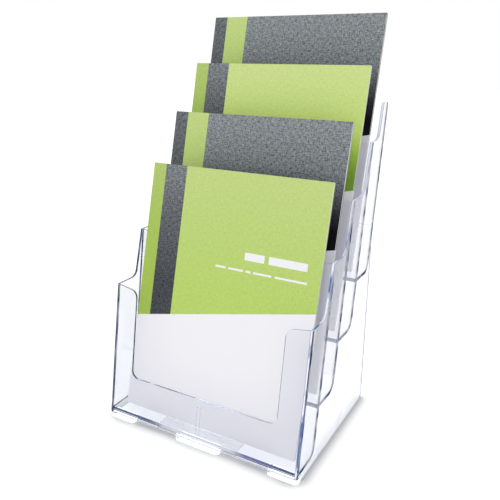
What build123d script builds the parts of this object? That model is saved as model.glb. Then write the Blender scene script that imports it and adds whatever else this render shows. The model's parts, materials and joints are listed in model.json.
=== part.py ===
from build123d import *
import math
import os

# Free-standing four-tier literature rack for letter-size brochures: clear plastic sheet parts,
# solvent-welded, with one loose brochure standing in each pocket.
# Millimetres. X across, Y from front to back, Z up from the surface that it stands on.
# While building, Y = 0 is the bottom front edge; every node is moved at export, so that the
# origin ends up below the middle of the whole object.

# ---- driving dimensions ----
WIDTH = 238.0            # over the outer faces of the side panels
BASE_DEPTH = 182.0       # front edge to the upright rear edge of the side panels
SHEET = 2.8              # thickness of every clear part
WELD = 0.1               # thickness of a weld between two clear parts
TIERS = 4
STEP_BACK = 45.7         # each pocket is this far behind the one below it
STEP_UP = 52.2           # and this far above it
LAST_STEP_BACK = 44.2    # from the highest pocket to the foot of the back panel
FIRST_FLOOR = 9.0        # underside of the lowest pocket above the surface
LEAN = 10.4              # degrees that the pockets' walls lean back
FRONT_HEIGHT = 148.5     # a front panel, along its slope
RACK_HEIGHT = 349.5      # top edge of the back panel
BEND = 9.0               # inside radius between a pocket's floor and its rear wall
EDGE = 0.7               # rounding of exposed edges
CORNER = 2.2             # rounding of the side panels' outer edges at the lowest pocket's front

CUT_HALF_WIDTH = 91.0    # U-shaped cut-out in a front panel, from the centre
CUT_BOTTOM = 46.0        # its lower edge, along the slope
CUT_SHOULDER = 144.8     # where the uprights' tops start to rise outwards
CUT_RADIUS = 9.0
LEDGE_HALF_WIDTH = 50.0  # shallow finger ledge along a front panel's foot
LEDGE_HEIGHT = 3.6
LEDGE_DEPTH = 0.8

SHOULDER_RUN = 57.0      # side panel's step, back from the pocket's bottom front edge
TOP_SHOULDER_RUN = 47.2  # the same on the highest pocket
TOP_STRIP = 11.5         # width of the side panel beside the top of the back panel
STEP_RADIUS = 10.0
TOP_FRONT_RADIUS = 3.0   # the other corners of a side panel's outline
TOP_REAR_RADIUS = 4.0
REAR_FOOT_RADIUS = 5.0

FOOT_DEPTH = 10.0
FOOT_HEIGHT = 6.0        # a lip on the lowest front panel reaches down to the feet
FOOT_HALF_WIDTH = 27.0   # of the middle foot
FOOT_INNER = 86.0        # inner end of a corner foot, from the centre
FOOT_CORNER = 8.0
FOOT_EDGE = 1.5

RIB_START = 6.0          # divider ribs, along the front panel's slope
RIB_END = 36.0
RIB_SPACING = 4.4        # between the two ribs' centres
RIB_WIDTH = 1.1
RIB_HEIGHT = 2.6

PAD_HALF_WIDTH = 50.0    # ribbed grip pad on a pocket's floor
PAD_FRONT = 4.4
PAD_DEPTH = 12.6
PAD_BASE = 0.4
PAD_RIB_HEIGHT = 0.4
PAD_RIB_PITCH = 1.4
PAD_RIB_FOOT = 1.0       # width of a rib at its foot
PAD_RIB_CREST = 0.4      # and at its crest

PAGE_WIDTH = 216.0
PAGE_HEIGHT = 279.0
BROCHURE_THICKNESS = 3.2
COVER = 0.35
TRIM = 0.4               # the inner pages are cut this much smaller at head, foot and fore-edge
PAGE_GAP = 0.1           # air between the inner pages and the cover
FOLD_ROUNDNESS = 0.42    # radius of the fold's edges, as a share of the thickness
STAND_BACK = 20.1        # rear bottom edge of a brochure, behind the pocket's front edge
REST_GAP = 0.3           # between a brochure and what it rests on
LEAN_POINT = 146.0       # height on the next front panel's slope that a brochure leans on
SHIFTS = (0.2, -0.7, -1.5, -2.8)   # how far each brochure stands off the rack's centre line

STAPLE_WIRE = 0.5
STAPLE_CROWN = 12.0
STAPLE_PLACES = (66.0, 213.0)      # staple centres above the brochure's foot
SPINE_ROOM = 0.65        # free space between the cover's fold and the pages
HOLE_GAP = 0.05          # between a staple's leg and its hole
LEG_GAP = 0.2            # between the end of a leg and the pages

OVERSHOOT = 5.0          # by how much a cutter reaches past what it cuts
NEAR = 0.01              # within this, two places are the same

# ---- worked out from them ----
SIN, COS, TAN = (f(math.radians(LEAN)) for f in (math.sin, math.cos, math.tan))
INNER = WIDTH / 2 - SHEET                # inner faces of the side panels
PANEL_HALF = INNER - WELD                # half width of every sheet between them
WALL = SHEET / COS                       # thickness of a leaning wall, measured along Y
FRONT_TOP = (FRONT_HEIGHT * SIN, FRONT_HEIGHT * COS)
ALONG_LEAN = Axis((0, 0, 0), (0, SIN, COS))


def tier(k):
    """Bottom front edge (y, z) of pocket k; k = TIERS gives the foot of the back panel."""
    y = k * STEP_BACK if k < TIERS else (k - 1) * STEP_BACK + LAST_STEP_BACK
    return y, FIRST_FLOOR + k * STEP_UP


def wall_y(z, k):
    """Y of the sloping front face of panel k at height z."""
    y0, z0 = tier(k)
    return y0 + (z - z0) * TAN


def brochure_lean(k):
    """Bottom rear edge (y, z) and lean in degrees of brochure k, from what it stands and leans on."""
    y0, z0 = tier(k)
    foot = (y0 + STAND_BACK, z0 + SHEET + REST_GAP)
    y1, z1 = tier(k + 1)
    if k + 1 < TIERS:
        rest = (y1 + LEAN_POINT * SIN, z1 + LEAN_POINT * COS)
    else:
        rest = (wall_y(RACK_HEIGHT, k + 1), RACK_HEIGHT)
    run, rise = rest[0] - REST_GAP - foot[0], rest[1] - foot[1]
    return foot, math.degrees(math.atan2(run, rise))


(TOP_FOOT_Y, _), TOP_LEAN = brochure_lean(TIERS - 1)
Y_MIDDLE = (TOP_FOOT_Y + PAGE_HEIGHT * math.sin(math.radians(TOP_LEAN))) / 2


def profile(points, x0, x1, radii=None):
    """Closed (y, z) outline, extruded from x0 to x1. radii gives a corner radius by point number."""
    face = make_face(Polyline([(0, y, z) for y, z in points], close=True))
    for number, radius in (radii or {}).items():
        y, z = points[number]
        corner = face.vertices().sort_by_distance((0, y, z))[0]
        face = fillet(corner, radius)
    return extrude(face, amount=x1 - x0, dir=(1, 0, 0)).moved(Location((x0, 0, 0)))


def write(name, shape):
    """Moves a finished node to the object's origin and writes it."""
    export_step(shape.moved(Location((0, -Y_MIDDLE, 0))), f"parts/{name}.step")


def on_slope(k):
    """Plane on the front face of panel k: x across, y up the slope, z outwards to the front."""
    y, z = tier(k)
    return Plane(origin=(0, y, z), x_dir=(1, 0, 0), z_dir=(0, -COS, SIN))


# ---- clear parts ----
def side_panel(side):
    """Whole side of the rack, with its stepped top edge; side is -1 for left and 1 for right."""
    points = [(FOOT_DEPTH + WELD, 0), (FOOT_DEPTH + WELD, FOOT_HEIGHT), (0, FOOT_HEIGHT), (0, FIRST_FLOOR)]
    radii = {}
    for k in range(TIERS):
        y, z = tier(k)
        run = SHOULDER_RUN if k + 1 < TIERS else TOP_SHOULDER_RUN
        points.append((y + FRONT_TOP[0], z + FRONT_TOP[1]))
        radii[len(points)] = STEP_RADIUS
        points.append((y + run, z + FRONT_TOP[1]))
    rear_top = wall_y(RACK_HEIGHT, TIERS) + WALL
    bend_z = RACK_HEIGHT - (rear_top - BASE_DEPTH) / TAN
    top_front, top_rear, rear_foot = (len(points) + n for n in (0, 1, 3))
    radii.update({top_front: TOP_FRONT_RADIUS, top_rear: TOP_REAR_RADIUS, rear_foot: REAR_FOOT_RADIUS})
    points += [(rear_top - WALL - TOP_STRIP, RACK_HEIGHT), (rear_top, RACK_HEIGHT)]
    points += [(BASE_DEPTH, bend_z), (BASE_DEPTH, 0)]
    x0, x1 = sorted((side * INNER, side * WIDTH / 2))
    panel = profile(points, x0, x1, radii)
    outer = panel.faces().sort_by(Axis.X)[0 if side < 0 else -1]
    lowest_front = outer.edges().filter_by(ALONG_LEAN).sort_by(Axis.Y)[0]
    lip = outer.edges().filter_by(Axis.Z).sort_by(Axis.Y)[0]
    return fillet([lowest_front, lip], CORNER)


def front_panel(k):
    """Leaning front wall of a pocket, with the U-shaped cut-out and the finger ledge."""
    y, z = tier(k)
    top_y, top_z = y + FRONT_TOP[0], z + FRONT_TOP[1]
    points = [(y, z), (top_y, top_z), (top_y + SHEET * COS, top_z - SHEET * SIN), (y + WALL, z)]
    if k == 0:
        points += [(y + WALL, FOOT_HEIGHT), (y, FOOT_HEIGHT)]
    slab = profile(points, -PANEL_HALF, PANEL_HALF)
    far, aside = FRONT_HEIGHT + OVERSHOOT, PANEL_HALF + 1
    outline = [(-aside, far), (-aside, FRONT_HEIGHT), (-CUT_HALF_WIDTH, CUT_SHOULDER),
               (-CUT_HALF_WIDTH, CUT_BOTTOM), (CUT_HALF_WIDTH, CUT_BOTTOM), (CUT_HALF_WIDTH, CUT_SHOULDER),
               (aside, FRONT_HEIGHT), (aside, far)]
    sketch = make_face(Polyline([(px, py, 0) for px, py in outline], close=True))
    inner_corners = [v for v in sketch.vertices() if abs(abs(v.X) - CUT_HALF_WIDTH) < NEAR]
    sketch = fillet(inner_corners, CUT_RADIUS)
    cutter = on_slope(k) * Pos(0, 0, -2 * SHEET) * extrude(sketch, amount=4 * SHEET, dir=(0, 0, 1))
    panel = slab - cutter
    rim = []
    for edge in panel.edges():
        middle = on_slope(k).to_local_coords(edge.center())
        between_ends = abs(middle.X) < PANEL_HALF - NEAR
        on_a_face = abs(middle.Z + SHEET / 2) > SHEET / 2 - NEAR
        if between_ends and on_a_face and middle.Y > CUT_BOTTOM - NEAR:
            rim.append(edge)
    panel = fillet(rim, EDGE)
    recess = Box(2 * LEDGE_HALF_WIDTH, 2 * LEDGE_HEIGHT, LEDGE_DEPTH)
    ledge = on_slope(k) * Pos(0, 0, -LEDGE_DEPTH / 2) * recess
    return panel - ledge


def pocket_floor(k):
    """Floor of a pocket, bent up into its rear wall, which ends below the next pocket."""
    y, z = tier(k)
    top = z + STEP_UP - WELD
    front = y + WALL + WELD
    front_top = front + SHEET * TAN
    points = [(front, z), (wall_y(z, k + 1) + WALL, z), (wall_y(top, k + 1) + WALL, top),
              (wall_y(top, k + 1), top), (wall_y(z + SHEET, k + 1), z + SHEET), (front_top, z + SHEET)]
    return profile(points, -PANEL_HALF, PANEL_HALF, {1: BEND + SHEET, 4: BEND})


def back_panel():
    """Plain panel above the rear wall of the highest pocket."""
    y, z = tier(TIERS)
    y_top = wall_y(RACK_HEIGHT, TIERS)
    points = [(y, z), (y_top, RACK_HEIGHT), (y_top + WALL, RACK_HEIGHT), (y + WALL, z)]
    panel = profile(points, -PANEL_HALF, PANEL_HALF)
    return fillet(panel.edges().filter_by(Axis.X).sort_by(Axis.Z)[-2:], EDGE)


def divider_ribs(k):
    """Pair of ribs on the inside of a front panel, which hold the edge of a pocket divider."""
    length = RIB_END - RIB_START
    rib = Box(RIB_WIDTH, length, RIB_HEIGHT)
    pair = [Pos(side * RIB_SPACING / 2, 0, -RIB_HEIGHT / 2) * rib for side in (-1, 1)]
    middle = Pos(0, (RIB_START + RIB_END) / 2, -SHEET - WELD)
    return on_slope(k) * middle * Compound(children=pair)


def grip_pad(k):
    """Thin ribbed pad on a pocket's floor, between the front panel and the brochure."""
    y, z = tier(k)
    points = [(0, 0), (0, PAD_BASE)]
    crest = PAD_BASE + PAD_RIB_HEIGHT
    for n in range(int(PAD_DEPTH / PAD_RIB_PITCH)):
        middle = (n + 0.5) * PAD_RIB_PITCH
        points += [(middle - PAD_RIB_FOOT / 2, PAD_BASE), (middle - PAD_RIB_CREST / 2, crest)]
        points += [(middle + PAD_RIB_CREST / 2, crest), (middle + PAD_RIB_FOOT / 2, PAD_BASE)]
    points += [(PAD_DEPTH, PAD_BASE), (PAD_DEPTH, 0)]
    placed = [(y + PAD_FRONT + py, z + SHEET + WELD + pz) for py, pz in points]
    return profile(placed, -PAD_HALF_WIDTH, PAD_HALF_WIDTH)


def middle_foot():
    """Bar under the middle of the front edge."""
    height = FOOT_HEIGHT - WELD
    foot = Pos(0, FOOT_DEPTH / 2, height / 2) * Box(2 * FOOT_HALF_WIDTH, FOOT_DEPTH, height)
    return fillet(foot.edges().filter_by(Axis.Z), FOOT_EDGE)


def corner_foot(side):
    """Foot under a front corner, rounded outside to carry on from the side panel."""
    height = FOOT_HEIGHT - WELD
    width = WIDTH / 2 - FOOT_INNER
    foot = Pos(side * (FOOT_INNER + width / 2), FOOT_DEPTH / 2, height / 2) * Box(width, FOOT_DEPTH, height)
    uprights = foot.edges().filter_by(Axis.Z)
    corner = uprights.sort_by_distance((side * WIDTH / 2, 0, height / 2))[0]
    foot = fillet(corner, FOOT_CORNER)
    inner = foot.edges().filter_by(Axis.Z).sort_by_distance((side * FOOT_INNER, 0, height / 2))[0]
    return fillet(inner, FOOT_EDGE)


# ---- brochures ----
def place_brochure(k, shape):
    """Stands a flat-built brochure part in pocket k. Flat: x across, y = 0 at the rear face, z up."""
    (y, z), lean = brochure_lean(k)
    return Location((SHIFTS[k], y, z), (-lean, 0, 0)) * shape


def folded(x0, x1, thickness, z0, z1):
    """Booklet-shaped solid: square at the fore-edge, rounded at the fold, rear face at y = -offset."""
    offset = (BROCHURE_THICKNESS - thickness) / 2
    body = Pos((x0 + x1) / 2, -offset - thickness / 2, (z0 + z1) / 2) * Box(x1 - x0, thickness, z1 - z0)
    fold = body.edges().filter_by(Axis.Z).sort_by(Axis.X)[:2]
    return fillet(fold, thickness * FOLD_ROUNDNESS)


def brochure_cover(k):
    """Folded cover with the holes that its staples go through."""
    half = PAGE_WIDTH / 2
    cover = folded(-half, half, BROCHURE_THICKNESS, 0, PAGE_HEIGHT)
    cover -= folded(-half + COVER, half + OVERSHOOT, BROCHURE_THICKNESS - 2 * COVER,
                    -OVERSHOOT, PAGE_HEIGHT + OVERSHOOT)
    for z in leg_places():
        at_fold = Pos(-half, -BROCHURE_THICKNESS / 2, z) * Rot(0, 90, 0)
        cover -= at_fold * Cylinder(STAPLE_WIRE / 2 + HOLE_GAP, OVERSHOOT)
    return place_brochure(k, cover)


def brochure_pages(k):
    """Block of inner pages."""
    half = PAGE_WIDTH / 2
    block = folded(-half + COVER + SPINE_ROOM, half - TRIM, BROCHURE_THICKNESS - 2 * COVER - PAGE_GAP,
                   TRIM, PAGE_HEIGHT - TRIM)
    return place_brochure(k, block)


def leg_places():
    """Heights of all the staple legs of one brochure."""
    return [z + s * STAPLE_CROWN / 2 for z in STAPLE_PLACES for s in (-1, 1)]


def brochure_staples(k):
    """Two wire staples through the fold."""
    x = -PAGE_WIDTH / 2 - STAPLE_WIRE / 2
    y = -BROCHURE_THICKNESS / 2
    reach = STAPLE_WIRE / 2 + COVER + SPINE_ROOM - LEG_GAP
    staples = []
    for z in STAPLE_PLACES:
        staple = Pos(x, y, z) * Cylinder(STAPLE_WIRE / 2, STAPLE_CROWN + STAPLE_WIRE)
        for side in (-1, 1):
            leg = Pos(x + reach / 2, y, z + side * STAPLE_CROWN / 2) * Rot(0, 90, 0)
            staple += leg * Cylinder(STAPLE_WIRE / 2, reach)
        staples.append(staple)
    return place_brochure(k, Compound(children=staples))


def main():
    os.makedirs("parts", exist_ok=True)
    for side, word in ((-1, "left"), (1, "right")):
        write(f"side_panel_{word}", side_panel(side))
        write(f"front_foot_{word}", corner_foot(side))
    write("front_foot_middle", middle_foot())
    write("back_panel", back_panel())
    for k in range(TIERS):
        for name, make in (("front_panel", front_panel), ("pocket_floor", pocket_floor),
                           ("divider_ribs", divider_ribs), ("grip_pad", grip_pad)):
            write(f"{name}_{k + 1}", make(k))
        makers = (("cover", brochure_cover), ("pages", brochure_pages), ("staples", brochure_staples))
        for piece, make in makers:
            write(f"brochure_{k + 1}_{piece}", make(k))


main()
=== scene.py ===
import json
import math
import random

import bpy
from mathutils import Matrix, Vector


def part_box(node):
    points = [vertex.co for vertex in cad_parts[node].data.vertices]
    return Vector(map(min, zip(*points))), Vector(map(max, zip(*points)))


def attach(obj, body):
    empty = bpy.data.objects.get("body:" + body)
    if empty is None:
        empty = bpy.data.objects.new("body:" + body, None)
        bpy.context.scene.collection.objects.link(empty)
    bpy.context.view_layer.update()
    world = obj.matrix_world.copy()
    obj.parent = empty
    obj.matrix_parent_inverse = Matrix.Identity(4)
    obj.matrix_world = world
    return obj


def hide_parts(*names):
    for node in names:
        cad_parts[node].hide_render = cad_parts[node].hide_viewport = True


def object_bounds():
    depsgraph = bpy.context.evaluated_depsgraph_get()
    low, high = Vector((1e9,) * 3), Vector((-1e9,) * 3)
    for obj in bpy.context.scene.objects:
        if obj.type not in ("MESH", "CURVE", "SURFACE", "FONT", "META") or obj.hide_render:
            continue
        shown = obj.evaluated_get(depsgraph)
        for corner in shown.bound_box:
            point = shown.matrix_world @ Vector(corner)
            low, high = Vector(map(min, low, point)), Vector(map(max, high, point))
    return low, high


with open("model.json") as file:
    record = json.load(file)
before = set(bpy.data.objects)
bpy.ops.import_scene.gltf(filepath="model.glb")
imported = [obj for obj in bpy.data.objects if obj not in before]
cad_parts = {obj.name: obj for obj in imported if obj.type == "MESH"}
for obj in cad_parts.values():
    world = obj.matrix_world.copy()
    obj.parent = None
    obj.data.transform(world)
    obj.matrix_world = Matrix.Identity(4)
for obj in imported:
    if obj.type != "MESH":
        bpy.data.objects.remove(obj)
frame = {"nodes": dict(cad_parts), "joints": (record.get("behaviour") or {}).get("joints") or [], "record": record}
CAD_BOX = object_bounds()
RANDOM = random.Random(5)

TIERS = range(1, 5)
ACROSS, BACK, UP = (1, 0, 0), (0, 1, 0), (0, 0, 1)

# ---- the view, in metres, degrees and millimetres of lens ----
CAMERA_PLACE = (0.312, -0.5446, 0.4026)
CAMERA_TURN = 29.7            # to the left of straight ahead
CAMERA_DIP = 18.8             # below level
LENS = 42.5
SENSOR = 36
NEAREST = 0.01                # nothing closer than this is drawn

# ---- light and floor ----
LIGHT_BOUNCES = 96            # light runs a long way inside the edges of clear sheet
KEY_FROM = (-0.45, -0.5, 0.74)
KEY_SPREAD = (0.2, 1.0)       # how far a direction agrees with it, where the key begins and is full
KEY_STRENGTH = (1.0, 1.1)     # of the world there
FLOOR_REACH = 6.0
FLOOR_WHITE = (0.93, 0.93, 0.93, 1)
FLOOR_ROUGHNESS = 0.6
FLOOR_GLOW = (0.25, 0.45)     # outside the ground that the rack covers, and on it
CORNER = 0.004                # corner radius of the ground that the rack covers
CORNER_SOFT = 0.0002
SHADOW_REACH = 0.016          # how far the contact shadow spreads
SHADOW_OPEN = (0.5, 0.95)     # how open the floor is where the shadow is deepest and where it ends
SHADOW_DEPTH = 0.35           # what is left of the floor's white where it is deepest
PALER = 0.65                  # left of its right end it is paler, by this power
RIGHT_END = 0.03              # how long that right end is

# ---- the printed covers, in metres from a cover's top left corner ----
PAGE_WIDTH = 0.216
STRIPE_LEFT = 0.0175
STRIPE_RIGHT = 0.0455
PRINT_END_LEFT = 0.1746   # the white foot starts this far down at the fold
PRINT_END_RIGHT = 0.1287  # and this far down at the fore-edge
PRINT_SOFT = 0.0001
# Plain blocks in the place of a heading and of a line of small print: the line's span down the
# cover, then each block's span across it.
BLOCKS = (((0.0815, 0.0895), ((0.130, 0.153), (0.158, 0.201))),
          ((0.1000, 0.1021), ((0.096, 0.109), (0.112, 0.130), (0.133, 0.139),
                              (0.142, 0.163), (0.167, 0.2025))))
LINEN_GRAIN = 1100        # scales of noise, per metre
LINEN_THREADS = 800
THREAD_STRETCH = 0.3      # along a thread
LINEN_RANGE = (0.35, 0.65)
LINEN_SWING = (0.1, 0.8)  # how much of it shows in the green and in the grey
LINEN_HEIGHT = 0.00003
PRINT_ROUGHNESS = (0.36, 0.48)
PRINT_SPECULAR = 0.12

# ---- colours, as sRGB from 0 to 255. A print's run from 0 at the cover's top to 1 where it ends at
# the fore-edge, and the leaves' and the wire's run with their noise. ----
GREEN = ((0.0, (185, 203, 127)), (0.5, (179, 202, 115)), (1.0, (176, 201, 104)))
# The green ground of brochure 3: the print darkens downwards a little, and the steep darkening towards the foot is
# painted shade cast by the brochure in front.
GREEN_PRINT_AND_PAINTED_SHADE = ((0.1, (195, 212, 136)), (0.52, (192, 216, 119)), (0.62, (184, 207, 104)),
              (0.7, (160, 194, 80)), (0.8, (137, 170, 66)), (0.9, (118, 156, 58)))
GREEN_BAND = ((0.0, (170, 190, 108)), (0.4, (161, 186, 92)), (1.0, (157, 183, 79)))
GREY_STRIPE = ((0.0, (118, 123, 127)), (0.4, (92, 96, 100)), (1.0, (64, 67, 71)))
# The grey ground of brochures 2 and 4: slight print darkening plus painted shade cast by the brochure in front,
# deepest towards the foot.
GREY_PRINT_AND_PAINTED_SHADE = ((0.05, (128, 134, 137)), (0.4, (117, 123, 126)), (0.58, (86, 90, 96)),
             (0.74, (42, 44, 50)), (0.86, (12, 13, 17)))
GREY_BAND = ((0.0, (98, 104, 107)), (0.5, (86, 90, 94)), (1.0, (60, 63, 67)))
WHITE_FOOT = (232, 231, 236)
CUT_EDGE = (226, 226, 222)
LEAF_SHADES = ((0.3, (226, 226, 222)), (0.7, (238, 238, 235)))
WIRE_SHADES = ((0.3, (176, 178, 182)), (0.7, (214, 216, 220)))

# ---- clear plastic, linear colours; where there are two, -1 is the left side panel and 1 the right ----
CLEAR = (0.915, 0.92, 0.937, 1)
PLASTIC_IOR = 1.45
GLOSS = 0.5                        # specular level where nothing is painted
ABSORBED = (0.1, 0.3, 0.62, 1)
ABSORPTION = 9.0
WAVE_SCALE, WAVE_HEIGHT = 28, 0.0004
MARK_SCALE, MARK_HEIGHT = 900, 0.000004
MARK_STRETCH = (1, 0.2, 1)
HAZE_SCALE, HAZE_PATCHES = 60, (0.45, 0.75)
HAZE = 0.02                        # roughness of the dullest patches
# Painted shade: patchy navy lines where the sheets meet the side panels, in place of the darkness that the clear
# sheets' edges show.
SEAM_PAINTED_SHADE = (0.015, 0.035, 0.13, 1)
SEAM_SHADE_SCALE, SEAM_SHADE_PATCHES = 70, (0.38, 0.58)
SEAM_SHADE_FAINTEST = 0.66
# Painted light and shade on the side panels' edges: the left panel's are darker than the right's only because of
# how the light falls.
EDGE_LILAC = {-1: (0.5, 0.55, 0.66, 1), 1: (0.9, 0.9, 0.96, 1)}
EDGE_NAVY = {-1: (0.04, 0.05, 0.08, 1), 1: (0.1, 0.17, 0.36, 1)}
EDGE_PAINT_COVER = {-1: 0.0, 1: 0.92}    # how far the painted light and shade covers a side panel's edges
EDGE_SCALE, EDGE_PATCHES = 45, (0.36, 0.5)
EDGE_FADE = 0.9                    # how fast the navy gives way to lilac with height, per metre
EDGE_PAINTED_OUTLINE = (0.42, 0.46, 0.7, 1)
OUTLINE = (0.0006, 0.0004)         # in from a panel's face, where its edge's outline begins and is full
# Painted shade on the side panels' rear edges: grey, half covering the clear plastic.
REAR_EDGE_PAINTED_SHADE = (0.5, 0.51, 0.56, 1)
REAR_PAINT_COVER = 0.5
# Painted light and shade on the front panels' lower welds: blue at the left, pale painted light in the middle,
# violet and navy at the right.
LOWER_WELD_PAINTED_LIGHT = {"left": (0.03, 0.08, 0.22, 1), "middle": (0.72, 0.74, 0.8, 1),
              "right": (0.12, 0.12, 0.4, 1), "corner": (0.02, 0.05, 0.18, 1)}
LEDGE_END = 0.05                   # half width of the lower weld's pale middle of painted light
LEDGE_SCALE, LEDGE_FADE = 60, 0.02
CORNER_START = (0.08, 0.1)         # where its right end turns from violet to navy

# ---- the rack's sheets, as built ----
WALL_LEAN = math.radians(10.4)
OUTWARD = (0, -math.cos(WALL_LEAN), math.sin(WALL_LEAN))
UPHILL = (0, math.sin(WALL_LEAN), math.cos(WALL_LEAN))
SHEET = 0.0028
BEND = 0.009             # inside radius between a pocket's floor and its rear wall
SQUEEZE = 0.0005         # by how much a weld shows beyond its sheet
HAIR = 0.00006           # less than the gap between two welded faces
SOFT = 0.00015           # half width of a mask's soft edge
FACE_REACH, FACE_SOFT = 0.0004, 0.0001    # the same for a mask that picks one face out by its place

# ---- how much of a direction a surface's normal must have ----
FACES = 0.9              # more than this, if it faces that way
SQUARE = 0.995           # more than this, if it does so squarely, unlike a leaning wall
ROUGHLY = 0.5            # more than this, if it does so roughly, as round a fold
CUT_FACES = 0.8          # more than this, on a cover's cut edges
OFF_FLAT = 0.6           # less than this sideways, on a side panel's edges

# ---- the brochures' inner sheets and staples ----
SHEETS = 12              # folded sheets in a brochure
LEAF_SHARE = 0.8         # of a leaf's pitch that is paper, the rest being air
FOLD_STEPS = 8
TRIM_ERROR = 0.00012     # by how much a leaf's edge may fall short
FIBRE_SCALE, FIBRE_HEIGHT = 1400, 0.00003
PAPER_ROUGHNESS = 0.75
DRAWN_SCALE, DRAWN_HEIGHT = 5000, 0.00001
DRAWN_STRETCH, DRAWN_RANGE = (1, 1, 0.1), (0.3, 0.7)
WIRE_ROUGHNESS = (0.2, 0.36)


def linear(rgb):
    """An sRGB colour from 0 to 255 as linear values."""
    return tuple(((c / 255 + 0.055) / 1.055) ** 2.4 if c > 10 else c / 255 / 12.92 for c in rgb)


class Graph:
    """A node tree and short calls that add nodes to it."""

    def __init__(self, tree):
        self.nodes, self.links = tree.nodes, tree.links

    def put(self, value, socket):
        """A link if value is a socket, and a constant if it is a number or a colour."""
        if isinstance(value, bpy.types.NodeSocket):
            self.links.new(value, socket)
        else:
            socket.default_value = value

    def add(self, kind, settings=(), **values):
        """A node of this kind, with its settings and its inputs by name or number."""
        node = self.nodes.new(f"ShaderNode{kind}")
        for name, setting in dict(settings).items():
            setattr(node, name, setting)
        for name, value in values.items():
            key = int(name[1:]) if name[1:].isdigit() else name.replace("_", " ")
            self.put(value, node.inputs[key])
        return node

    def set(self, **values):
        """Inputs of the material's own shader."""
        for name, value in values.items():
            self.put(value, self.nodes["Principled BSDF"].inputs[name.replace("_", " ")])

    def place(self):
        return self.add("TexCoord").outputs["Object"]

    def normal(self):
        return self.add("TexCoord").outputs["Normal"]

    def math(self, operation, a, b=0.0, clamp=False):
        return self.add("Math", {"operation": operation, "use_clamp": clamp}, _0=a, _1=b).outputs[0]

    def vector_math(self, operation, a, b=(0, 0, 0)):
        return self.add("VectorMath", {"operation": operation}, _0=a, _1=b).outputs[0]

    def length(self, a):
        return self.add("VectorMath", {"operation": "LENGTH"}, _0=a).outputs["Value"]

    def dot(self, a, direction):
        return self.add("VectorMath", {"operation": "DOT_PRODUCT"}, _0=a, _1=direction).outputs["Value"]

    def vector(self, x, y):
        return self.add("CombineXYZ", X=x, Y=y).outputs[0]

    def noise(self, vector, scale, detail=2.0, stretch=(1, 1, 1)):
        stretched = self.vector_math("MULTIPLY", vector, stretch)
        return self.add("TexNoise", Vector=stretched, Scale=scale, Detail=detail).outputs["Fac"]

    def range(self, value, low, high, to_low=0.0, to_high=1.0):
        return self.add("MapRange", _0=value, _1=low, _2=high, _3=to_low, _4=to_high).outputs[0]

    def ramp(self, value, stops):
        node = self.add("ValToRGB", _0=value)
        elements = node.color_ramp.elements
        while len(elements) < len(stops):
            elements.new(0.5)
        for element, (at, rgb) in zip(elements, stops):
            element.position = at
            element.color = (*linear(rgb), 1)
        return node.outputs[0]

    def mix(self, factor, a, b, blend="MIX"):
        settings = {"data_type": "RGBA", "blend_type": blend}
        return self.add("Mix", settings, _0=factor, _6=a, _7=b).outputs[2]

    def above(self, value, low, soft=SOFT):
        """1 where value is above low, with a soft edge."""
        return self.range(value, low - soft, low + soft)

    def below(self, value, high, soft=SOFT):
        """1 where value is below high, with a soft edge."""
        return self.range(value, high - soft, high + soft, 1.0, 0.0)

    def between(self, value, low, high, soft=SOFT):
        """1 where value lies from low to high, with soft edges."""
        return self.math("MULTIPLY", self.above(value, low, soft), self.below(value, high, soft))

    def points(self, way, share=FACES):
        """1 where the surface points this way."""
        return self.math("GREATER_THAN", self.dot(self.normal(), way), share)

    def bump(self, height, distance, under=None):
        node = self.add("Bump", Height=height, Distance=distance)
        if under:
            self.put(under, node.inputs["Normal"])
        return node.outputs[0]


def new_material(name):
    material = bpy.data.materials.new(name)
    material.use_nodes = True
    return material, Graph(material.node_tree)


# ---- studio ----
def add_camera():
    turn, dip = math.radians(CAMERA_TURN), math.radians(CAMERA_DIP)
    ahead = Vector((-math.sin(turn) * math.cos(dip), math.cos(turn) * math.cos(dip), -math.sin(dip)))
    data = bpy.data.cameras.new("camera")
    data.lens = LENS
    data.sensor_width = SENSOR
    data.clip_start = NEAREST
    camera = bpy.data.objects.new("camera", data)
    camera.location = CAMERA_PLACE
    camera.rotation_euler = ahead.to_track_quat("-Z", "Y").to_euler()
    bpy.context.scene.collection.objects.link(camera)
    bpy.context.scene.camera = camera


def covered(graph, place, low, high):
    """1 on the ground within an upright box's footprint, between two corners of it."""
    middle = ((low[0] + high[0]) / 2, (low[1] + high[1]) / 2, 0)
    half = ((high[0] - low[0]) / 2 - CORNER, (high[1] - low[1]) / 2 - CORNER, 0)
    from_middle = graph.vector_math("ABSOLUTE", graph.vector_math("SUBTRACT", place, middle))
    beyond = graph.vector_math("MAXIMUM", graph.vector_math("SUBTRACT", from_middle, half), (0, 0, 0))
    return graph.below(graph.length(beyond), CORNER, CORNER_SOFT)


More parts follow.
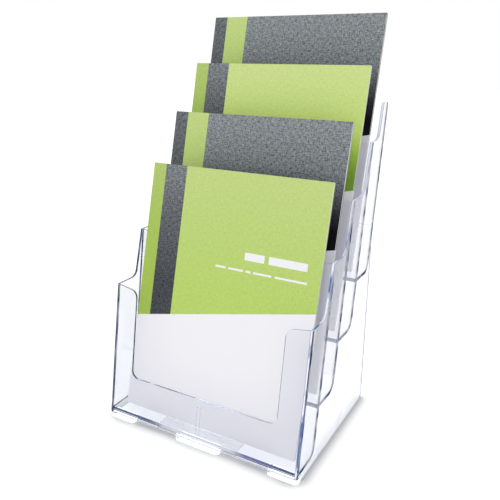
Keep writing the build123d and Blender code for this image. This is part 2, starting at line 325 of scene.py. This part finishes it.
def add_floor():
    """White floor that glows a little, shaded only round the ground that the rack covers."""
    material, graph = new_material("floor")
    contact = graph.add("AmbientOcclusion", {"samples": 8}, Distance=SHADOW_REACH).outputs["AO"]
    place = graph.place()
    (x0, _, _), (x1, _, _) = CAD_BOX
    behind_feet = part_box("front_foot_middle")[1][1]
    beneath = covered(graph, place, (x0, behind_feet), (x1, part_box("side_panel_left")[1][1]))
    for word in ("left", "middle", "right"):
        low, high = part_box(f"front_foot_{word}")
        beneath = graph.math("MAXIMUM", beneath, covered(graph, place, low, high))
    power = graph.range(graph.dot(place, ACROSS), x1 - RIGHT_END, x1, PALER, 1.0)
    shadow = graph.math("POWER", graph.range(contact, *SHADOW_OPEN, SHADOW_DEPTH, 1.0), power)
    shade = graph.math("MAXIMUM", shadow, beneath)
    graph.set(Base_Color=graph.mix(shade, (0, 0, 0, 1), FLOOR_WHITE), Roughness=FLOOR_ROUGHNESS)
    glow = graph.math("MULTIPLY", shade, graph.range(beneath, 0.0, 1.0, *FLOOR_GLOW))
    graph.set(Emission_Color=(1, 1, 1, 1), Emission_Strength=glow)
    corners = [(x * FLOOR_REACH, y * FLOOR_REACH, 0) for x, y in ((-1, -1), (1, -1), (1, 1), (-1, 1))]
    mesh = bpy.data.meshes.new("floor")
    mesh.from_pydata(corners, [], [(0, 1, 2, 3)])
    mesh.materials.append(material)
    floor = bpy.data.objects.new("floor", mesh)
    bpy.context.scene.collection.objects.link(floor)


def add_dome():
    """Soft white light from all round, a little stronger from the upper left."""
    world = bpy.data.worlds.new("studio")
    bpy.context.scene.world = world
    world.use_nodes = True
    graph = Graph(world.node_tree)
    towards = graph.add("TexCoord").outputs["Generated"]
    key = graph.range(graph.dot(towards, KEY_FROM), *KEY_SPREAD, *KEY_STRENGTH)
    graph.put(key, graph.nodes["Background"].inputs["Strength"])
    graph.nodes["Background"].inputs["Color"].default_value = (1, 1, 1, 1)


# ---- materials ----
def seams(graph, place):
    """1 on the lines where the sheets between the side panels meet them, as seen from the side."""
    depth, climb = graph.dot(place, OUTWARD), graph.dot(place, UPHILL)
    height, back = graph.dot(place, UP), graph.dot(place, BACK)
    walls = [f"front_panel_{k}" for k in TIERS] + ["back_panel"]
    found = 0.0
    for wall in walls:
        far = span(wall, OUTWARD)[1]
        through_wall = graph.between(depth, far - SHEET - SQUEEZE, far + SQUEEZE)
        in_wall = graph.math("MULTIPLY", through_wall, graph.between(climb, *span(wall, UPHILL)))
        found = graph.math("MAXIMUM", found, in_wall)
    for k, wall in enumerate(walls[1:], 1):
        (_, y0, z0), (_, y1, z1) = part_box(f"pocket_floor_{k}")
        to_wall = graph.math("SUBTRACT", BEND + span(wall, OUTWARD)[1], depth)
        to_floor = graph.math("SUBTRACT", BEND + SHEET + z0, height)
        near_bend = graph.vector_math("MAXIMUM", graph.vector(to_wall, to_floor), (0, 0, 0))
        in_sheet = graph.between(graph.length(near_bend), BEND - SQUEEZE, BEND + SHEET + SQUEEZE)
        in_box = graph.math("MULTIPLY", graph.between(height, z0, z1), graph.between(back, y0, y1))
        found = graph.math("MAXIMUM", found, graph.math("MULTIPLY", in_sheet, in_box))
    return found


def front_welds(graph, place):
    """1 on the hidden faces where each front panel meets its floor, and behind the lowest panel's lip."""
    depth, height = graph.dot(place, OUTWARD), graph.dot(place, UP)
    down_faces, out_faces = graph.points((0, 0, -1)), graph.points(OUTWARD)
    rear_faces = graph.points(BACK, SQUARE)
    found = 0.0
    for k in TIERS:
        far = span(f"front_panel_{k}", OUTWARD)[1]
        near = far - SHEET
        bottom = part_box(f"front_panel_{k}")[0][2]
        floor_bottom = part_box(f"pocket_floor_{k}")[0][2]
        at_bottom = graph.math("LESS_THAN", height, bottom + HAIR)
        below_panel = graph.math("MULTIPLY", down_faces, at_bottom)
        behind_panel = graph.between(depth, near - 4 * HAIR, near - HAIR, HAIR / 4)
        hidden = graph.math("MULTIPLY", out_faces, behind_panel)
        if bottom < floor_bottom:
            behind_lip = graph.math("MULTIPLY", rear_faces, graph.math("LESS_THAN", height, floor_bottom))
            hidden = graph.math("MAXIMUM", hidden, behind_lip)
        else:
            in_panel = graph.between(depth, near - HAIR / 2, far + HAIR, HAIR / 4)
            below_panel = graph.math("MULTIPLY", below_panel, in_panel)
        hidden = graph.math("MAXIMUM", hidden, below_panel)
        low = graph.between(height, bottom - HAIR, floor_bottom + SHEET + HAIR, HAIR / 2)
        found = graph.math("MAXIMUM", found, graph.math("MULTIPLY", low, hidden))
    return found


def painted_lower_weld_light(graph, place):
    """Painted light and shade for the front panels' lower welds: blue at the left, pale in the middle, then
    violet, and navy at the right corner.
    """
    x = graph.dot(place, ACROSS)
    uneven = graph.math("MULTIPLY", graph.noise(place, LEDGE_SCALE), LEDGE_FADE)
    from_middle = graph.math("ADD", graph.math("ABSOLUTE", x), uneven)
    at_end = graph.range(from_middle, LEDGE_END, LEDGE_END + LEDGE_FADE)
    right_end = graph.mix(graph.range(x, *CORNER_START), LOWER_WELD_PAINTED_LIGHT["right"], LOWER_WELD_PAINTED_LIGHT["corner"])
    ends = graph.mix(graph.math("GREATER_THAN", x, 0.0), LOWER_WELD_PAINTED_LIGHT["left"], right_end)
    return graph.mix(at_end, LOWER_WELD_PAINTED_LIGHT["middle"], ends)


def painted_edge_light(graph, place, side, off_middle):
    """Painted light and shade on a side panel's edges: navy patches low down, giving way to lilac, outlined along
    the edge where the paint covers it.
    """
    height = graph.math("MULTIPLY", graph.dot(place, UP), EDGE_FADE)
    patchy = graph.range(graph.math("SUBTRACT", graph.noise(place, EDGE_SCALE), height), *EDGE_PATCHES)
    color = graph.mix(patchy, EDGE_LILAC[side], EDGE_NAVY[side])
    if EDGE_PAINT_COVER[side]:
        border = graph.range(off_middle, *(SHEET / 2 - inwards for inwards in OUTLINE))
        color = graph.mix(border, color, EDGE_PAINTED_OUTLINE)
    return color


def clear_plastic(name, side=0, lower_edge=False):
    """Clear plastic, slightly wavy, with handling marks. Dark lines of painted shade go where sheets meet the
    side panels, on the sheets' ends and, given a side, on that panel, whose edges get painted light and shade
    too. lower_edge adds painted light and shade on the lower welds of the front panels."""
    material, graph = new_material(name)
    place = graph.place()
    wave = graph.bump(graph.noise(place, WAVE_SCALE, 1.0), WAVE_HEIGHT)
    marks = graph.bump(graph.noise(place, MARK_SCALE, stretch=MARK_STRETCH), MARK_HEIGHT, under=wave)
    haze = graph.range(graph.noise(place, HAZE_SCALE, 3.0), *HAZE_PATCHES, 0.0, HAZE)
    facing = graph.math("ABSOLUTE", graph.dot(graph.normal(), ACROSS))
    aside = graph.math("ABSOLUTE", graph.dot(place, ACROSS))
    inner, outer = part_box("side_panel_right")[0][0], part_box("side_panel_right")[1][0]
    # The right panel's lines are on its outer face, which would hide them by its reflection.
    shown = outer if side > 0 else inner
    flat = graph.math("MULTIPLY", graph.math("GREATER_THAN", facing, FACES),
                      graph.between(aside, shown - FACE_REACH, shown + FACE_REACH, FACE_SOFT))
    painted = graph.math("MULTIPLY", flat, seams(graph, place)) if side else flat
    uneven = graph.range(graph.noise(place, SEAM_SHADE_SCALE), *SEAM_SHADE_PATCHES, SEAM_SHADE_FAINTEST, 1.0)
    painted = graph.math("MULTIPLY", painted, uneven)
    # painted shade: navy lines on the sheets' ends and where the sheets meet the side panels
    color = graph.mix(painted, CLEAR, SEAM_PAINTED_SHADE)
    if lower_edge:
        # painted light and shade on the front panels' lower welds
        weld = front_welds(graph, place)
        color = graph.mix(weld, color, painted_lower_weld_light(graph, place))
        painted = graph.math("MAXIMUM", painted, weld)
    if side:
        # painted light and shade on the side panel's edges, darker on the left panel than the right because of how
        # the light falls
        edge = graph.math("LESS_THAN", facing, OFF_FLAT)
        off_middle = graph.math("ABSOLUTE", graph.math("SUBTRACT", aside, (inner + outer) / 2))
        color = graph.mix(edge, color, painted_edge_light(graph, place, side, off_middle))
        painted = graph.math("MAXIMUM", painted, graph.math("MULTIPLY", edge, EDGE_PAINT_COVER[side]))
        # painted shade on the side panel's rear edges
        rear = graph.points(BACK)
        color = graph.mix(rear, color, REAR_EDGE_PAINTED_SHADE)
        painted = graph.math("MAXIMUM", painted, graph.math("MULTIPLY", rear, REAR_PAINT_COVER))
    gloss = graph.range(painted, 0.0, 1.0, GLOSS, 0.0)
    graph.set(Base_Color=color, Transmission_Weight=graph.math("SUBTRACT", 1.0, painted), Roughness=haze,
              IOR=PLASTIC_IOR, Specular_IOR_Level=gloss, Normal=marks)
    absorb = graph.add("VolumeAbsorption", Color=ABSORBED, Density=ABSORPTION)
    graph.put(absorb.outputs[0], graph.nodes["Material Output"].inputs["Volume"])
    return material


def lift_of(k):
    """Direction in which brochure k lifts, up along its own plane."""
    return Vector(next(j["axis"] for j in frame["joints"] if j["child"] == f"brochure_{k}")).normalized()


def span(node, direction):
    """Lowest and highest place of a node's corners along a direction."""
    reach = [v.co.dot(Vector(direction)) for v in frame["nodes"][node].data.vertices]
    return min(reach), max(reach)


def cover_print(k):
    """Printed cover with a linen grain: a coloured ground that deepens downwards, on brochures 2 to 4 partly as
    painted shade from the brochure in front, a stripe beside the fold, and a white foot. The back is plain white,
    past the band that wraps round the fold."""
    material, graph = new_material(f"cover_{k}")
    up = lift_of(k)
    place = graph.place()
    left, top = span(f"brochure_{k}_cover", ACROSS)[0], span(f"brochure_{k}_cover", up)[1]
    across = graph.math("SUBTRACT", graph.dot(place, ACROSS), left)
    down = graph.math("SUBTRACT", top, graph.dot(place, up))

    green_ground = k % 2 == 1
    depth = graph.math("DIVIDE", down, PRINT_END_RIGHT, clamp=True)
    # on brochures 2 to 4 the ground's ramp adds painted shade from the brochure in front to the print's darkening
    ground = graph.ramp(depth, (GREEN if k == 1 else GREEN_PRINT_AND_PAINTED_SHADE) if green_ground else GREY_PRINT_AND_PAINTED_SHADE)
    band = graph.ramp(depth, GREEN_BAND if green_ground else GREY_BAND)
    stripe = graph.ramp(depth, GREY_STRIPE if green_ground else GREEN)
    in_stripe = graph.between(across, STRIPE_LEFT, STRIPE_RIGHT)
    ground = graph.mix(graph.above(across, STRIPE_RIGHT, PRINT_SOFT), band, ground)
    printed = graph.mix(in_stripe, ground, stripe)

    on_page = graph.vector(across, down)
    grain = graph.noise(on_page, LINEN_GRAIN, 1.0)
    warp = graph.noise(on_page, LINEN_THREADS, 1.0, stretch=(1, THREAD_STRETCH, 1))
    weft = graph.noise(on_page, LINEN_THREADS, 1.0, stretch=(THREAD_STRETCH, 1, 1))
    linen = graph.math("DIVIDE", graph.math("ADD", graph.math("ADD", grain, warp), weft), 3.0)
    grey_here = in_stripe if green_ground else graph.math("SUBTRACT", 1.0, in_stripe)
    swing = graph.range(grey_here, 0.0, 1.0, *LINEN_SWING)
    low, high = graph.math("SUBTRACT", 1.0, swing), graph.math("ADD", 1.0, swing)
    printed = graph.mix(1.0, printed, graph.range(linen, *LINEN_RANGE, low, high), "MULTIPLY")

    white = (*linear(WHITE_FOOT), 1)
    if k == 1:
        for line, blocks in BLOCKS:
            for block in blocks:
                in_block = graph.math("MULTIPLY", graph.between(across, *block), graph.between(down, *line))
                printed = graph.mix(in_block, printed, white)
    end = graph.range(across, 0.0, PAGE_WIDTH, PRINT_END_LEFT, PRINT_END_RIGHT)
    past = graph.above(graph.math("SUBTRACT", down, end), 0.0, 2 * PRINT_SOFT)
    color = graph.mix(past, printed, white)

    behind = graph.points(up.cross(Vector(ACROSS)), ROUGHLY)
    back = graph.mix(graph.above(across, STRIPE_LEFT, PRINT_SOFT), band, white)
    color = graph.mix(behind, color, back)
    head = graph.math("ABSOLUTE", graph.dot(graph.normal(), up))
    fore = graph.dot(graph.normal(), ACROSS)
    cut = graph.math("GREATER_THAN", graph.math("MAXIMUM", head, fore), CUT_FACES)
    color = graph.mix(cut, color, (*linear(CUT_EDGE), 1))
    graph.set(Base_Color=color, Roughness=graph.range(linen, *LINEN_RANGE, *PRINT_ROUGHNESS),
              Specular_IOR_Level=PRINT_SPECULAR, Normal=graph.bump(linen, LINEN_HEIGHT))
    return material


def paper():
    """Uncoated inner pages."""
    material, graph = new_material("pages")
    fibre = graph.noise(graph.place(), FIBRE_SCALE, 3.0)
    graph.set(Base_Color=graph.ramp(fibre, LEAF_SHADES), Roughness=PAPER_ROUGHNESS,
              Normal=graph.bump(fibre, FIBRE_HEIGHT))
    return material


def wire():
    """Drawn steel wire."""
    material, graph = new_material("staple_wire")
    drawn = graph.noise(graph.place(), DRAWN_SCALE, stretch=DRAWN_STRETCH)
    graph.set(Base_Color=graph.ramp(drawn, WIRE_SHADES), Metallic=1.0,
              Roughness=graph.range(drawn, *DRAWN_RANGE, *WIRE_ROUGHNESS),
              Normal=graph.bump(drawn, DRAWN_HEIGHT))
    return material


# ---- inner pages ----
def folded_sheet(x_fold, x_edge, radius, half_paper, bottom, top):
    """Corners and faces of one folded sheet, flat built: x across, y through the booklet, z up."""
    path = [(x_edge, -1.0, 0.0)]
    for step in range(FOLD_STEPS + 1):
        angle = math.pi * (step / FOLD_STEPS - 0.5)
        path.append((x_fold, math.sin(angle), math.cos(angle)))
    path.append((x_edge, 1.0, 0.0))
    corners = []
    for x, side, out in path:
        for reach in (radius - half_paper, radius + half_paper):
            corners += [(x - out * reach, side * reach, z) for z in (bottom, top)]
    faces = [(0, 1, 3, 2)]
    for n in range(len(path) - 1):
        a, b = 4 * n, 4 * n + 4
        faces += [(a, b, b + 1, a + 1), (a + 3, b + 3, b + 2, a + 2),
                  (a + 2, b + 2, b, a), (a + 1, b + 1, b + 3, a + 3)]
    end = 4 * (len(path) - 1)
    faces.append((end + 2, end + 3, end + 1, end))
    return corners, faces


def add_pages(k):
    """Nested folded sheets of brochure k, in the space of its block of pages."""
    node = f"brochure_{k}_pages"
    up, across = lift_of(k), Vector(ACROSS)
    through = up.cross(across)
    (left, right), (foot, head), (near, far) = (span(node, way) for way in (across, up, through))
    pitch = (far - near) / (2 * SHEETS)
    corners, faces = [], []
    for n in range(SHEETS):
        short = [RANDOM.uniform(0, TRIM_ERROR) for _ in range(3)]
        sheet, sides = folded_sheet(left + SHEETS * pitch, right - short[0], (n + 0.5) * pitch,
                                    LEAF_SHARE * pitch / 2, foot + short[1], head - short[2])
        faces += [tuple(len(corners) + c for c in side) for side in sides]
        corners += sheet
    middle = (near + far) / 2
    mesh = bpy.data.meshes.new(f"brochure_{k}_leaves")
    mesh.from_pydata([across * x + through * (middle + y) + up * z for x, y, z in corners], [], faces)
    mesh.materials.append(looks["pages"])
    pages = bpy.data.objects.new(f"brochure_{k}_leaves", mesh)
    bpy.context.scene.collection.objects.link(pages)
    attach(pages, f"brochure_{k}")
    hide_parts(node)


add_camera()
add_dome()
add_floor()
bpy.context.scene.view_settings.view_transform = "Standard"
bpy.context.scene.cycles.blur_glossy = 0.0
for kind in ("max", "glossy", "transmission"):
    setattr(bpy.context.scene.cycles, f"{kind}_bounces", LIGHT_BOUNCES)

looks = {"clear_plastic": clear_plastic("clear_sheet"), "pages": paper(), "staple_wire": wire(),
         "side_panel_left": clear_plastic("clear_side_left", side=-1),
         "side_panel_right": clear_plastic("clear_side_right", side=1)}
clear_front = clear_plastic("clear_front", lower_edge=True)
for k in TIERS:
    looks[f"front_panel_{k}"] = looks[f"pocket_floor_{k}"] = clear_front
    looks[f"brochure_{k}_cover"] = cover_print(k)
slot_of = {s["node"]: s["material_slot"] for s in frame["record"]["subparts"]}
for name, node in frame["nodes"].items():
    node.data.materials.clear()
    node.data.materials.append(looks.get(name) or looks[slot_of[name]])
for k in TIERS:
    add_pages(k)
